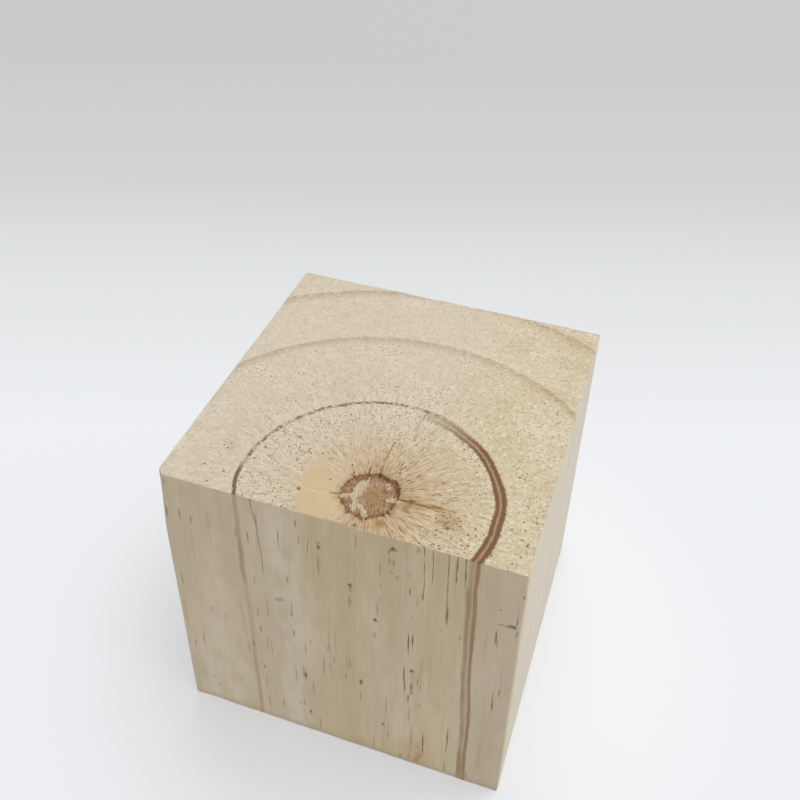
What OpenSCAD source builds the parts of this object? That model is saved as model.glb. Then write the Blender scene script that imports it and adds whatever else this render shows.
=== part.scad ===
// Solid softwood cube, cut from a square stick that holds the pith of the tree.
// The grain runs straight up, so the top and the underside are saw-cut end grain
// and the four sides are planed. Origin at the centre of the underside, +Z up,
// front face towards -Y. Millimetres.

/* [Block] */
// Length of every edge of the cube
edge = 60; // [40:1:100]
// Radius of the planed round on the front left arris
round_arris_r = 2; // [0.5:0.1:5]
// Radius of the slight easing on the other three upright arrises
eased_arris_r = 0.4; // [0.1:0.1:2]
// Size of the chip broken off the top front right corner
chip = 0.7; // [0.2:0.1:3]

/* [Pith] */
// How far the pith lies to the right of the middle
pith_right = 3.1; // [-10:0.1:10]
// How far the pith lies behind the front face
pith_behind = 6.8; // [6:0.1:20]
// Radius of the soft pith, to the hollows of its star outline
pith_r = 4.4; // [2:0.1:5.5]
// Depth of the torn pocket that the saw left in the soft pith
pith_depth = 0.7; // [0.2:0.1:2]
// How far the tufts that still stand in the pocket stay below the end
tuft_drop = 0.3; // [0.1:0.05:1]

/* [Drying checks] */
// Width of a check at its open end, on the end grain
ray_check_w = 0.36; // [0.1:0.02:1]
// Depth of the checks on the end grain
ray_check_depth = 1.2; // [0.3:0.1:4]
// Width of a check on the front face
face_check_w = 0.24; // [0.1:0.02:0.8]
// Depth of the checks on the front face
face_check_depth = 0.8; // [0.2:0.1:2]

/* [Pin knots] */
// Radius of a pin knot's dimple where it meets the front face
knot_r = 0.5; // [0.2:0.05:1.5]
// Depth of the dimple
knot_depth = 0.25; // [0.05:0.05:0.5]

/* [Hidden] */
$fn = 48;
front_y = -edge / 2;
past = 1; // how far each cutting shape reaches out past the face it opens on

// Star outline of the pith, anticlockwise from the right: angle, share of pith_r
pith_star = [
    [4, 1.22], [16, 0.96], [32, 1.02], [50, 1.0], [58, 1.3], [66, 1.02],
    [88, 1.06], [92, 1.42], [97, 1.02], [112, 1.0], [117, 1.34], [122, 0.98],
    [142, 0.97], [160, 0.98], [178, 1.0], [193, 1.06], [197, 1.4], [202, 1.03],
    [222, 1.04], [243, 1.08], [256, 1.12], [268, 1.06], [282, 1.12], [286, 1.28],
    [292, 1.08], [312, 1.0], [330, 0.96], [348, 0.92]
];

// Left-hand tuft: a crescent of torn fibre, angle and share of pith_r
tuft_crescent = [
    [150, 0.74], [178, 0.84], [206, 0.86], [238, 0.84], [262, 0.86], [278, 0.94],
    [270, 0.62], [246, 0.46], [214, 0.34], [176, 0.3], [154, 0.42]
];

// Right-hand tuft: a small triangle of pale fibre, angle and share of pith_r
tuft_right = [[352, 0.98], [10, 0.84], [2, 0.56], [346, 0.66]];

// Checks that run out from the pith on the top end: angle, length as share of edge
ray_checks = [
    [3, 0.13], [59, 0.07], [66, 0.04], [92, 0.11], [117, 0.035], [136, 0.045],
    [152, 0.06], [197, 0.028], [286, 0.02], [318, 0.03], [24, 0.05], [41, 0.04]
];

// Checks on the front face that start open at the top end:
// place along the face and length, both as shares of edge
top_checks = [[0.27, 0.33], [0.737, 0.2], [0.76, 0.14], [0.8, 0.27], [0.843, 0.11]];

// Checks on the front face closed at both ends:
// place along the face, upper end below the top and length, as shares of edge
face_checks = [
    [0.342, 0.083, 0.085], [0.428, 0.09, 0.058], [0.367, 0.375, 0.068],
    [0.709, 0.367, 0.092], [0.7, 0.5, 0.14], [0.717, 0.64, 0.05],
    [0.84, 0.75, 0.13], [0.938, 0.235, 0.075], [0.952, 0.49, 0.13],
    [0.767, 0.82, 0.15], [0.473, 0.51, 0.048]
];

// Pin knots on the front face: place along it and below the top, shares of edge
pin_knots = [
    [0.54, 0.232], [0.613, 0.347], [0.333, 0.383], [0.722, 0.527], [0.573, 0.66],
    [0.4, 0.713], [0.408, 0.905], [0.643, 0.84], [0.657, 0.045], [0.975, 0.207]
];

function polar(points, r) = [for (p = points) [cos(p[0]), sin(p[0])] * p[1] * r];

// What is cut away from a square corner at the origin, to leave a round of radius r
module corner_waste(r) {
    difference() {
        translate([-past, -past]) square(r + past);
        translate([r, r]) circle(r);
    }
}

// Square section of the stick, with one full round and three eased arrises
module section() {
    difference() {
        square(edge, center = true);
        translate([-edge / 2, -edge / 2]) corner_waste(round_arris_r);
        for (turn = [90, 180, 270])
            rotate(turn) translate([-edge / 2, -edge / 2]) corner_waste(eased_arris_r);
    }
}

// Torn star-shaped pocket in the top end, with two tufts standing in it
module pith_pocket() {
    difference() {
        translate([0, 0, -pith_depth])
            linear_extrude(height = pith_depth + past) polygon(polar(pith_star, pith_r));
        translate([0, 0, -pith_depth - past])
            linear_extrude(height = pith_depth + past - tuft_drop) {
                polygon(polar(tuft_crescent, pith_r));
                polygon(polar(tuft_right, pith_r));
            }
    }
}

// One check on the end grain, wide at the pith and closing as it runs outwards
module ray_check(angle, length) {
    rotate(angle) translate([pith_r * 0.9, 0, -ray_check_depth])
        linear_extrude(height = ray_check_depth + past)
            polygon([[0, -ray_check_w / 2], [length, 0], [0, ray_check_w / 2]]);
}

// A slit in the front face, drawn in X and Z with its upper end at the origin
module slit(outline) {
    translate([0, front_y + face_check_depth, 0]) rotate([90, 0, 0])
        linear_extrude(height = face_check_depth + past) polygon(outline);
}

// Slit that is open at the top end and closes to a point below
module top_check(length) {
    w = face_check_w / 2;
    slit([[-w, past], [-w, -length / 2], [0, -length], [w, -length / 2], [w, past]]);
}

// Slit that is widest in its middle and closed at both ends
module face_check(length) {
    w = face_check_w / 2;
    slit([[0, 0], [-w, -length / 2], [0, -length], [w, -length / 2]]);
}

// Shallow dimple where a pin knot meets the front face, the cap of a ball
module pin_knot() {
    ball_r = (knot_r * knot_r + knot_depth * knot_depth) / (2 * knot_depth);
    translate([0, front_y + knot_depth - ball_r, 0]) sphere(ball_r);
}

// Small chip off the top front right corner, a slanting cut across it
module corner_chip() {
    translate([edge / 2, front_y, edge]) rotate([0, 0, 45]) rotate([45, 0, 0])
        cube([2 * chip, chip, chip], center = true);
}

module wooden_cube() {
    color("#d6c6a8") difference() {
        linear_extrude(height = edge) section();
        translate([pith_right, front_y + pith_behind, edge]) {
            pith_pocket();
            for (c = ray_checks) ray_check(c[0], c[1] * edge);
        }
        for (c = top_checks)
            translate([(c[0] - 0.5) * edge, 0, edge]) top_check(c[1] * edge);
        for (c = face_checks)
            translate([(c[0] - 0.5) * edge, 0, (1 - c[1]) * edge]) face_check(c[2] * edge);
        for (k = pin_knots)
            translate([(k[0] - 0.5) * edge, 0, (1 - k[1]) * edge]) pin_knot();
        corner_chip();
    }
}

wooden_cube();
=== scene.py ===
import functools
import math
import bpy
import numpy as np
from mathutils import Euler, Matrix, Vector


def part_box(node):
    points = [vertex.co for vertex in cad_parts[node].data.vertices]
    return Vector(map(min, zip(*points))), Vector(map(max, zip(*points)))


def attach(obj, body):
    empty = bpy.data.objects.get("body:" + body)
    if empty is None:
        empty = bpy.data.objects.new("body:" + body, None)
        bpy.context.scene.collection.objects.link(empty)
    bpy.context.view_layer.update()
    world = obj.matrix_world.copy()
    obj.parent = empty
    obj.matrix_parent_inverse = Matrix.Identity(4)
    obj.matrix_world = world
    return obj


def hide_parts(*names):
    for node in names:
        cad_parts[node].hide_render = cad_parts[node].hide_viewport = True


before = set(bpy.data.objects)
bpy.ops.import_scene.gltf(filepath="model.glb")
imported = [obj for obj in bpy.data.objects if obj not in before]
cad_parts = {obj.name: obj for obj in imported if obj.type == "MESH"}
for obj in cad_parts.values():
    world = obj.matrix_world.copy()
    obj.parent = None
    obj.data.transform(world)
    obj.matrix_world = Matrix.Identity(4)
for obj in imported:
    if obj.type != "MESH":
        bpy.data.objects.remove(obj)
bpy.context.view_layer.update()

# One planed softwood cube, cut from a stick that holds the pith of the tree.
# Lengths are millimetres where nothing else is said, and turn to metres where a mesh is made.

mm = 0.001
cadLow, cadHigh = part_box("wooden_cube")
edge = (cadHigh.x - cadLow.x) / mm
half = edge / 2

block = {
    "easedArris": 0.4,  # slight easing of the four upright arrises
    "wornCorner": (1.3, 15),  # front left arris: extra round at the top, and how far it runs down
    "sawnEdge": 0.16,  # how far the saw-cut rims are rubbed down
    "edgeFuzz": 0.05,  # how unevenly the rims are torn
    "planing": 0.025,  # ripple left by the planer
    "endWave": 0.02,  # how unevenly the saw left the end
    "chip": 0.35,  # depth of the chip off the top front right corner
    # grain by height: how far it has drifted to the right, and how much its rings have grown
    "drift": [(60, 0, 0), (44, -0.12, 0.1), (30, 0.35, 0.05), (18, 0.58, 0.33), (0, 0.65, 0.33)],
}

pith = {
    "x": 3.2,  # right of the middle, at the top end
    "y": -half + 7,  # behind the front face
    "radius": 4.5,
    "depth": 0.36,  # torn pocket, at its lowest
    "tuftDrop": 0.1,  # how far the standing tufts stay below the end
    "dish": (0.05, 5.6, 1.2),  # the end sinks a little round the pocket: depth, radius, width
    "frayed": (0.13, 0.1),  # how far the outline strays, in long waves and in short ones
    "tornFloor": (0.07, 0.05),  # how uneven the pocket's floor is, in the same way
    # star outline, anticlockwise from the right: angle, share of the radius
    "star": [
        (5, 0.98), (16, 1.05), (35, 1.08), (45, 1.1), (56, 1.17), (62, 1.04), (77, 1),
        (88, 1.1), (99, 0.99), (110, 0.98), (149, 1), (183, 1), (192, 0.97), (203, 1.04),
        (215, 0.97), (239, 0.99), (246, 1.05), (257, 1.02), (267, 1.02), (276, 1.12), (284, 1.12),
        (291, 1), (309, 1), (314, 1.05), (327, 1.02), (351, 0.98)],
    # fibre that still stands in the pocket, as strokes: x, y to x, y, and half the width
    "tufts": [
        (1.5, -21, 1.25, -22.6, 0.9), (1.2, -22.6, 1.1, -23.9, 0.72),
        (1.2, -24, 1.5, -25.3, 0.54), (1.4, -25.3, 1.85, -26.5, 0.42),
        (2.3, -25.4, 3.2, -26, 0.46), (3.2, -26, 3.8, -27, 0.46),
        (3.8, -27, 4.25, -27.9, 0.28), (-0.9, -24.4, 0.6, -23.8, 0.42),
        (6.6, -22.7, 7.5, -22.7, 0.45), (6, -23.1, 6.4, -22.8, 0.28),
        (6.1, -23.6, 6.15, -23.8, 0.24), (5.2, -19.8, 5.6, -20.8, 0.3),
        (1.95, -19.4, 1.9, -20.6, 0.2), (3.3, -20.6, 3.6, -20.8, 0.2)],
    # strokes of colour alone
    "pinkish": [
        (2.6, -20.4, 4.4, -20.3, 0.75), (3.3, -20.6, 3.4, -21.3, 0.6),
        (2.4, -23.8, 3, -24.8, 0.42), (6.3, -24.2, 6.9, -25, 0.55),
        (0.1, -24.6, 0.3, -24.5, 0.3), (0.55, -25.3, 0.8, -26.1, 0.26),
        (-0.4, -20.7, -0.2, -20.9, 0.3), (-0.7, -22.6, -0.3, -22.4, 0.3)],
    "burnt": [
        (6.8, -19.6, 7.3, -21.4, 0.32), (4.9, -20.8, 5.1, -21.4, 0.14),
        (5.1, -21.4, 5.7, -21.5, 0.18), (4.4, -22.8, 4.5, -23, 0.16),
        (2.1, -24.2, 2.5, -25.1, 0.14), (3.4, -25.1, 3.5, -25.2, 0.16),
        (-0.2, -21.4, -0.1, -21.6, 0.26), (-0.9, -24.9, 0.2, -26.2, 0.22),
        (1.2, -27.2, 1.5, -27.2, 0.3), (2, -27.4, 3.2, -27.5, 0.2),
        (6.2, -25.8, 7, -25.6, 0.2), (5.3, -25.3, 5.4, -26.2, 0.12),
        (5.8, -26.7, 6.2, -26.2, 0.3), (3.2, -18.4, 3.5, -18.5, 0.35),
        (2.4, -18.7, 2.5, -18.9, 0.25), (4.1, -18.8, 5.6, -18.7, 0.16),
        (4.4, -26.6, 4.9, -26.8, 0.25)],
}

cracks = {
    "rayWidth": 0.22,
    "rayDepth": 0.4,
    # checks that run out from the rim of the pith: angle, length
    "rays": [
        (8, 1.7), (55, 1.2), (89, 1.2), (109, 1.7), (196, 1.9), (246, 1.1), (318, 1.5), (76, 0.8),
        (36, 0.8), (284, 1), (276, 0.9), (142, 0.9), (328, 1)],
    "faceWidth": 0.19,
    "faceDepth": 0.16,
    # checks on the front face, each as points down its line: right of the middle and height
    "face": [
        [(-13.7, 62), (-13.7, 58.5), (-13.05, 54.8), (-12.75, 48), (-12.5, 39.5)],
        [(14.3, 62), (14.5, 56), (14.6, 52.5), (14.4, 47.6)],
        [(15.55, 62), (15.85, 56), (15.65, 50.2)],
        [(18.05, 62), (18.25, 52), (18.35, 47), (18.6, 43.6)], [(20.6, 62), (20.85, 53.2)],
        [(19.45, 60), (19.4, 53)], [(-9.45, 55.1), (-9.4, 49.4)], [(-4.1, 55.1), (-4.5, 51.3)],
        [(-7.85, 37.7), (-8.15, 33.4)], [(12.4, 38.8), (12.6, 32.5)],
        [(13.15, 38.8), (13.1, 34.8)], [(12.1, 29.9), (11.9, 27.5), (12.15, 21.2)],
        [(12.8, 21.8), (12.8, 18.6)], [(20.1, 15.6), (20.2, 11), (20.05, 6.8)],
        [(26.1, 46.1), (26.7, 41.2)], [(26.95, 30), (27.15, 23.1)], [(15.65, 11.9), (15.95, 4)],
        [(-1.5, 29.4), (-1.85, 26.5)], [(-21, 28.9), (-21.1, 25.4)]],
}

knots = {
    "depth": 0.18,
    # pin knots on the front face: right of the middle, height, half width, half height
    "face": [
        (2.5, 46.1, 0.44, 0.62), (6.75, 39.2, 0.44, 0.62), (13.2, 28.5, 0.5, 0.5),
        (4.2, 20.6, 0.4, 0.95), (-6.25, 17.3, 0.34, 1), (-5.75, 5.9, 0.34, 0.6),
        (8.35, 9.7, 0.24, 0.7), (9.5, 57.6, 0.5, 0.5), (28.5, 47.6, 0.8, 0.3),
        (-2.6, 53.1, 0.36, 0.6)],
}

steps = {
    "front": 0.75, "sides": 1.7, "back": 2.1,  # columns round the section
    "turn": 2.1, "rayTurn": 0.9,  # degrees between columns, about the pith
    "rayReach": 2.6,  # degrees to each side of a ray that are finer
    "check": 0.065, "knot": 0.2,  # columns at a check and a knot
    "pocket": 0.15, "wall": 1.15,  # rows
    "knotRow": 0.24, "rimRow": 0.35,  # rows at a knot and near the rims
    "rimReach": 1.2,  # how far the rims' rows reach up and down the wall
    "pocketReach": 6.4, "endRows": 20,  # end of the pocket's rows, and rows beyond them
    "roundSamples": 24001, "upSamples": 6001,  # fine places that the gaps are worked out at
}


# Puts a new object with its data into the scene.
def addObject(name, data):
    added = bpy.data.objects.new(name, data)
    bpy.context.scene.collection.objects.link(added)
    return added


# sRGB hex to the linear colour that a node takes: c / 12.92 where c is at most 0.04045,
# ((c + 0.055) / 1.055) ^ 2.4 above it.
def linear(hexColour):
    c = np.array([int(hexColour[i:i + 2], 16) for i in (1, 3, 5)]) / 255
    c = np.where(c <= 0.04045, c / 12.92, ((c + 0.055) / 1.055) ** 2.4)
    return (*c.tolist(), 1.0)


# Smooth wander between about -1 and 1: the sum of sines sin(k . (a, b) + phase) over waves of
# random direction, with wave lengths from `longest` down to a third of it, over root(waves).
def wander(a, b, longest, seed, waves=9):
    rng = np.random.default_rng(seed)
    total = np.zeros(np.broadcast(a, b).shape)
    for turn, share, phase in rng.uniform((0, 1 / 3, 0), (math.tau, 1, math.tau), (waves, 3)):
        k = math.tau / (longest * share)
        total += np.sin(k * (a * math.cos(turn) + b * math.sin(turn)) + phase)
    return total / math.sqrt(waves)


# 0 up to `low`, 1 from `high` on, and t * t * (3 - 2 t) between them.
def ease(low, high, value):
    t = np.clip((value - low) / (high - low), 0, 1)
    return t * t * (3 - 2 * t)


# Gaps with none larger than `gap` where `here` holds.
def finer(gaps, here, gap):
    return np.where(here, np.minimum(gaps, gap), gaps)


# Places from first to last that stand closer where the detail is fine. `gaps` is the wished gap
# at each point of `line`, and the places are at equal steps of the running total of 1 / gap.
def placesAlong(line, gaps):
    total = np.concatenate([[0], np.cumsum(np.diff(line) * (1 / gaps[1:] + 1 / gaps[:-1]) / 2)])
    return np.interp(np.linspace(0, total[-1], round(total[-1]) + 1), total, line)


# The outline of the section at a run s round it, from the back left corner along the left side,
# the front, the right side and the back: x, y and the angle of the outward normal. The normal
# turns by 90 degrees over each corner's round, and a corner's points are centre + radius * normal.
# `worn` is added to the radius of the front left corner.
def outline(s, worn=0):
    side = np.clip(s // edge, 0, 3).astype(int)
    along = s - side * edge - half
    x = np.choose(side, [-half, along, half, -along])
    y = np.choose(side, [-along, -half, along, half])
    angle = math.pi + side * math.pi / 2
    for corner in range(5):
        r = block["easedArris"] + (worn if corner == 1 else 0)
        turn = (s - corner * edge) / r
        diagonal = math.radians(135 + 90 * corner)
        inside = np.abs(turn) < 1
        normal = diagonal + turn * math.pi / 4
        middle = half - r
        x = np.where(inside, middle * math.copysign(1, math.cos(diagonal)) + r * np.cos(normal), x)
        y = np.where(inside, middle * math.copysign(1, math.sin(diagonal)) + r * np.sin(normal), y)
        angle = np.where(inside, normal, angle)
    return x, y, angle


# How far the grain has drifted to the right at height z, for a line that starts at x on the top
# end: the table's drift, fading to nothing at the arrises as 1 - (x / half) ^ 8.
def drift(x, z):
    heights, sideways, growth = zip(*block["drift"][::-1])
    return np.interp(z, heights, sideways) * (1 - np.clip(np.abs(x) / half, 0, 1) ** 8)


# Radius of the pocket's star outline at an angle, straight between the points of its list.
def starRadius(angle):
    degrees, shares = zip(*pith["star"])
    degrees = [degrees[-1] - 360, *degrees, degrees[0] + 360]
    shares = [shares[-1], *shares, shares[0]]
    return pith["radius"] * np.interp(np.degrees(angle) % 360, degrees, shares)


# How much of a group of strokes covers a point: 1 on a stroke's line, falling to 0 at 1.3 of its
# half width. The distance to a stroke is the distance to the nearest point of its segment.
def strokes(x, y, rows):
    cover = np.zeros(np.broadcast(x, y).shape)
    for x0, y0, x1, y1, width in rows:
        length = math.hypot(x1 - x0, y1 - y0)
        t = np.clip(((x - x0) * (x1 - x0) + (y - y0) * (y1 - y0)) / length ** 2, 0, 1)
        away = np.hypot(x - x0 - t * (x1 - x0), y - y0 - t * (y1 - y0))
        cover = np.maximum(cover, 1 - away / width / 1.3)
    return np.clip(cover, 0, 1)


# A turn about the pith from a direction in degrees to an angle, between minus and plus half a turn.
def turnFrom(degrees, angle):
    return (angle - math.radians(degrees) + math.pi) % math.tau - math.pi


# V groove: 1 on its line, falling to 0 at half its width, and nothing where it has closed.
def groove(off, halfWidth):
    depth = np.clip(1 - np.abs(off) / np.maximum(halfWidth, 1e-6), 0, 1)
    return depth * (halfWidth > 0.01)


# What is missing from the top end at polar place (angle, r) about the pith, in millimetres:
# the pocket inside the star outline, less its tufts, and the checks, which are V grooves whose
# width falls in a straight line from the rim to their ends.
def endDepth(angle, r):
    x, y = r * np.cos(angle), r * np.sin(angle)
    long, short = pith["frayed"]
    ragged = long * wander(x, y, 1.6, 11) + short * wander(x, y, 0.6, 12)
    inside = starRadius(angle) + ragged - r
    near = (x + pith["x"] + ragged, y + pith["y"] + 0.7 * ragged)
    tufts, pinkish, burnt = (strokes(*near, pith[name]) for name in ("tufts", "pinkish", "burnt"))
    floor = pith["depth"] - ease(0, 0.5, tufts) * (pith["depth"] - pith["tuftDrop"])
    long, short = pith["tornFloor"]
    floor = floor + long * wander(x * 2.2, y * 0.8, 2.2, 13) + short * wander(x * 3, y, 1.1, 14)
    depth = floor * ease(-0.02, 0.55, inside) + 0.06 * ease(-0.05, 0.1, inside)
    crack = np.zeros(r.shape)
    for degrees, length in cracks["rays"]:
        start = pith["radius"]
        width = cracks["rayWidth"] / 2 * np.clip(1 - (r - start) / length, 0, 1)
        bent = turnFrom(degrees, angle) * r + 0.08 * wander(r, r * 0 + degrees, 2.5, 15)
        crack = np.maximum(crack, groove(bent, width) * ease(start - 0.5, start, r))
    return (np.maximum(depth, crack ** 0.8 * cracks["rayDepth"]),
            {"inPith": inside, "tuft": tufts, "pinkish": pinkish, "burnt": burnt, "crack": crack})


# Where the line of a check stands at height z: straight between its points, counted along the
# grain, so less the drift at that height.
def checkLine(line, z):
    x = np.interp(z, [point[1] for point in line[::-1]], [point[0] for point in line[::-1]])
    return x - drift(x, z)


# What is missing from the front face at height z of the grain that starts at x on the top end: V
# grooves at the checks, widest in the middle or at the top end, and 1 - (distance / radius) ^ 2
# at the pin knots.
def faceDepth(x, z):
    crack = np.zeros(x.shape)
    for line in cracks["face"]:
        (x0, top), bottom = line[0], line[-1][1]
        share = (z - bottom) / (top - bottom)
        wide = np.minimum(share * 2.5, 1 if top > edge else (1 - share) * 2.5)
        wide = cracks["faceWidth"] / 2 * np.clip(wide, 0, 1) ** 0.7
        wide = wide * (0.8 + 0.3 * wander(z, z * 0 + 3 * x0, 5, 15))
        bent = x - checkLine(line, z) - 0.04 * wander(z, z * 0 + x0, 9, 16)
        crack = np.maximum(crack, groove(bent, wide))
    knot = np.zeros(x.shape)
    for place, height, wide, tall in knots["face"]:
        start = place - drift(place, height)
        away = np.hypot((x - start) / wide, (z - height) / tall)
        knot = np.maximum(knot, np.clip(1 - away ** 2, 0, 1))
    return np.maximum(crack * cracks["faceDepth"], knot * knots["depth"]), crack, knot


# The whole block as one closed sheet over (column, row). A column starts at the pith on the top
# end, runs straight out to the outline, down the wall along the grain and back in under the
# block to the pith. Rows are radii in the pocket, shares of the way to the rim, turns of the
# rim's small round, heights, turns of the lower rim, and shares of the way back to the pith.
def makeBlock():
    run = np.linspace(0, 4 * edge, steps["roundSamples"])
    worn, wornLength = block["wornCorner"]
    x, y, normal = outline(run, worn)
    about = np.unwrap(np.arctan2(y - pith["y"], x - pith["x"]))
    side = np.clip(run // edge, 0, 3).astype(int)
    gaps = np.choose(side, [steps[name] for name in ("sides", "front", "sides", "back")])
    for corner in range(5):
        r = block["easedArris"] + (worn if corner == 1 else 0)
        gaps = finer(gaps, np.abs(run - corner * edge) < r * 1.2, 0.1 + r / 8)
    turnGap = np.full(run.shape, math.radians(steps["turn"]))
    for ray in cracks["rays"]:
        near = np.abs(turnFrom(ray[0], about)) < math.radians(steps["rayReach"])
        turnGap = finer(turnGap, near, math.radians(steps["rayTurn"]))
    gaps = np.minimum(gaps, turnGap / np.gradient(about, run))
    onFront = np.where(side == 1, x, 99)
    for line in cracks["face"]:
        span = checkLine(line, np.linspace(min(line[0][1], edge), line[-1][1], 30))
        near = (onFront > span.min() - 0.15) & (onFront < span.max() + 0.15)
        gaps = finer(gaps, near, steps["check"])
    for place, height, wide, tall in knots["face"]:
        start = place - drift(place, height)
        gaps = finer(gaps, np.abs(onFront - start) < wide * 1.1, steps["knot"])
    s = placesAlong(run, gaps)[:-1]
    x, y, normal = outline(s, worn)
    nx, ny = np.cos(normal), np.sin(normal)
    about = np.arctan2(y - pith["y"], x - pith["x"])
    columns = len(s)

    rim = block["sawnEdge"]
    height = np.linspace(rim, edge - rim, steps["upSamples"])
    gaps = np.full(height.shape, steps["wall"])
    for place, middle, wide, tall in knots["face"]:
        gaps = finer(gaps, np.abs(height - middle) < tall * 1.1, steps["knotRow"])
    gaps = finer(gaps, np.abs(height - half) > half - steps["rimReach"], steps["rimRow"])
    height = placesAlong(height, gaps)[::-1]

    # top end: radii in the pocket, then shares of what is left to the rim
    far = np.hypot(x - nx * rim - pith["x"], y - ny * rim - pith["y"])
    pocketReach = steps["pocketReach"]
    inner = np.arange(1, round(pocketReach / steps["pocket"]) + 1) * steps["pocket"]
    share = np.linspace(0, 1, steps["endRows"] + 1)[1:]
    share = share + 0.03 * np.sin(math.pi * share)
    reach = np.minimum(pocketReach, far * 0.95)
    radii = np.vstack([inner[:, None] / inner[-1] * reach[None, :],
                       reach[None, :] + share[:, None] * (far - reach)[None, :]])
    angle = np.broadcast_to(about, radii.shape)
    depth, torn = endDepth(angle, radii)
    crack = torn["crack"]
    fade = ease(0, 0.5, (far[None, :] - radii))
    endX = pith["x"] + radii * np.cos(angle)
    endY = pith["y"] + radii * np.sin(angle)
    endZ = edge - depth * np.maximum(fade, crack)
    endZ = endZ - block["endWave"] * np.clip(1 + wander(endX, endY, 14, 17), 0, None)
    dish, dishR, dishWidth = pith["dish"]
    endZ = endZ - dish * np.exp(-((radii - dishR) / dishWidth) ** 2)
    print("top end:", radii.shape, "deepest", round(float(depth.max()), 2), "mm")

    # walls, with the two rims' quarter rounds above and below them
    turns = np.radians([22.5, 45, 67.5])
    wallZ = np.concatenate([edge - rim + rim * np.cos(turns), height,
                            rim - rim * np.cos(turns[::-1])])
    inset = np.concatenate([rim - rim * np.sin(turns), height * 0,
                            rim - rim * np.sin(turns[::-1])])
    z = np.broadcast_to(wallZ[:, None], (len(wallZ), columns))
    onFront = np.where((s > edge) & (s < 2 * edge), x, 99)
    cut, faceCrack, knot = faceDepth(np.broadcast_to(onFront, z.shape), z)
    wall = inset[:, None] + cut
    wall = wall + block["planing"] * np.clip(1 + wander(s[None, :], z * 0.25, 9, 18), 0, None)
    along = np.where(onFront < 90, drift(onFront, z), 0)
    worn = worn * ease(edge - wornLength, edge, z[:, :1])
    wallX, wallY, wallNormal = outline(s[None, :], worn)
    wallX = wallX - np.cos(wallNormal) * wall + along
    wallY = wallY - np.sin(wallNormal) * wall

    # underside: straight in to the pith, flat, with the pith sawn clean
    share = np.linspace(1, 0, 16)[:-1]
    underX0, underY0 = pith["x"] + block["drift"][-1][1], pith["y"]
    outX = wallX[-1] - nx * rim * 0.2
    outY = wallY[-1] - ny * rim * 0.2
    underX = underX0 + share[:, None] * (outX - underX0)
    underY = underY0 + share[:, None] * (outY - underY0)
    underZ = np.zeros(underX.shape)
    underTurn = np.arctan2(underY - underY0, underX - underX0)
    underPith = starRadius(underTurn) - np.hypot(underX - underX0, underY - underY0)

    # rims torn a little unevenly: the few rows nearest a rim sink by about edgeFuzz
    fuzz = block["edgeFuzz"] * (1.2 + wander(s, s * 0, 3, 19) + 0.8 * wander(s, s * 0, 1.1, 20))
    fuzz = np.clip(fuzz, 0, None)
    wallZ2 = z - fuzz * np.exp(-((edge - z) / 0.3)) + 0.6 * fuzz * np.exp(-(z / 0.3))
    endZ = endZ - fuzz * np.exp(-(far[None, :] - radii) / 0.3)

    def stack(end, side_, under, poleTop, poleUnder):
        return np.concatenate([[poleTop], end.ravel(), side_.ravel(), under.ravel(), [poleUnder]])

    points = np.column_stack([
        stack(endX, wallX, underX, pith["x"], underX0),
        stack(endY, wallY, underY, pith["y"], underY0),
        stack(endZ, wallZ2, underZ, endZ[0].mean(), 0.0)])

    # the chip: points past its slanting plane are set back on to it
    corner = np.array([half, -half, edge])
    slant = np.array([0.5, -0.5, math.sqrt(0.5)])
    past = (points - corner) @ slant + block["chip"]
    past = past + 0.06 * wander(points[:, 0], points[:, 2] + points[:, 1], 0.8, 21)
    points = points - np.clip(past, 0, None)[:, None] * slant

    zero = np.zeros
    wallOff, underOff = zero(wallX.shape), zero(underX.shape)
    marks = {name: stack(values, wallOff, underOff, values[0].mean(), 0)
             for name, values in torn.items()}
    marks["endGrain"] = stack(zero(endX.shape) + 1, wallOff, underOff + 1, 1, 1)
    marks["inPith"] = stack(torn["inPith"], wallOff - 9, underPith, 4, 4)
    marks["crack"] = stack(crack, faceCrack, underOff, 0, 0)
    marks["knot"] = stack(zero(endX.shape), knot, underOff, 0, 0)
    side = np.round((normal - math.pi) / (math.pi / 2)).astype(int) % 4
    return points, marks, side, (len(endX), len(wallZ), len(underX))


# Faces of the closed sheet: quads between neighbouring rows and columns, wound so that they face
# outwards, and a fan of triangles at each pole.
def makeFaces(rows, columns):
    i, j = np.meshgrid(np.arange(rows - 1), np.arange(columns), indexing="ij")
    k = (j + 1) % columns
    quads = 1 + np.stack([i * columns + j, (i + 1) * columns + j,
                          (i + 1) * columns + k, i * columns + k], -1).reshape(-1, 4)
    j = np.arange(columns)
    k = (j + 1) % columns
    top = np.column_stack([j * 0, 1 + j, 1 + k])
    last = 1 + (rows - 1) * columns
    under = np.column_stack([last + k, last + j, j * 0 + rows * columns + 1])
    return quads, top, under


# A chart number for every quad: 0 to 3 for the left, front, right and back side, 4 for the top
# end and 5 for the underside. The rims' rounds are shared between two charts.
def chartOf(side, endRows, wallRows, rows, columns):
    row = np.repeat(np.arange(rows - 1), columns)
    chart = np.tile(side, rows - 1)
    chart = np.where(row < endRows + 1, 4, chart)
    return np.where(row > endRows + wallRows - 3, 5, chart)


atlas = {
    # lower left corner, size, and the directions that run across and up each chart
    0: (0.01, 0.49, 0.3, (0, -1, 0), (0, 0, 1)),
    1: (0.49, 0.01, 0.46, (1, 0, 0), (0, 0, 1)),
    2: (0.33, 0.49, 0.3, (0, 1, 0), (0, 0, 1)),
    3: (0.65, 0.49, 0.3, (-1, 0, 0), (0, 0, 1)),
    4: (0.01, 0.01, 0.46, (1, 0, 0), (0, 1, 0)),
    5: (0.01, 0.81, 0.17, (1, 0, 0), (0, -1, 0)),
}

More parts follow.
